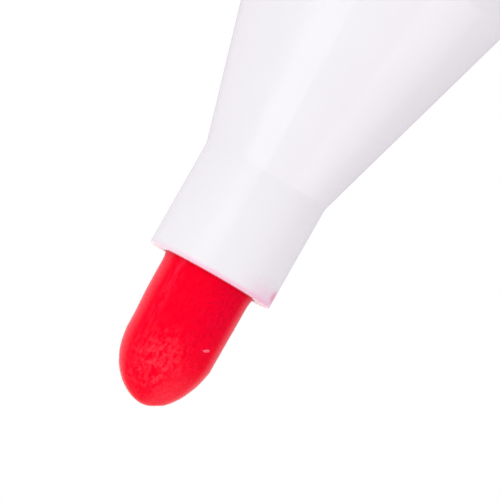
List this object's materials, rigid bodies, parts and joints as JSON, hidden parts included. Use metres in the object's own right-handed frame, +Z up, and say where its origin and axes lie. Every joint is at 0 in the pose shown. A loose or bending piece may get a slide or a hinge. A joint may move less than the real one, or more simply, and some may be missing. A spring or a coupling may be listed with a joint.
{
  "type": "felt tip marker",
  "caption": "Capillary felt tip marker with a red bullet nib, a white conical nose and barrel, and a clip cap posted on its tail. It stands on the cap, nib up.",
  "frame": {"origin": "centre of the flat closed end of the posted cap, which the marker stands on", "axes": "+Z up the marker's axis towards the nib; the pocket clip is on the -Y side"},
  "size_m": [0.017, 0.0207, 0.1586],
  "materials": {
    "ink_felt": "bonded fibre, damp with ink",
    "white_plastic": "moulded, satin gloss",
    "label_film": "printed film",
    "ink_fibre": "fibre bundle soaked with ink",
    "clear_film": "thin wrapping film",
    "natural_plastic": "undyed moulding",
    "red_plastic": "moulded, gloss"
  },
  "bodies": {
    "barrel_body": {"nib": "ink_felt", "nose": "white_plastic", "barrel": "white_plastic", "barrel_label": "label_film", "reservoir_core": "ink_fibre", "reservoir_sheath": "clear_film", "breather_tube": "natural_plastic", "tail_plug": "red_plastic"},
    "cap_body": {"cap_shell": "red_plastic", "cap_inner_seal": "natural_plastic", "cap_end_plug": "red_plastic"},
    "clip_body": {"pocket_clip": "red_plastic"}
  },
  "joints": [
    {"name": "cap_pull_off", "type": "slide", "parent": "barrel_body", "child": "cap_body", "axis": [0, 0, -1], "range_m": [0, 0.012]},
    {"name": "clip_flex", "type": "hinge", "parent": "cap_body", "child": "clip_body", "pos_m": [0, -0.0101, 0.0029], "axis": [1, 0, 0], "range_deg": [0, 4], "stiffness_Nm_per_rad": 0.5}
  ]
}
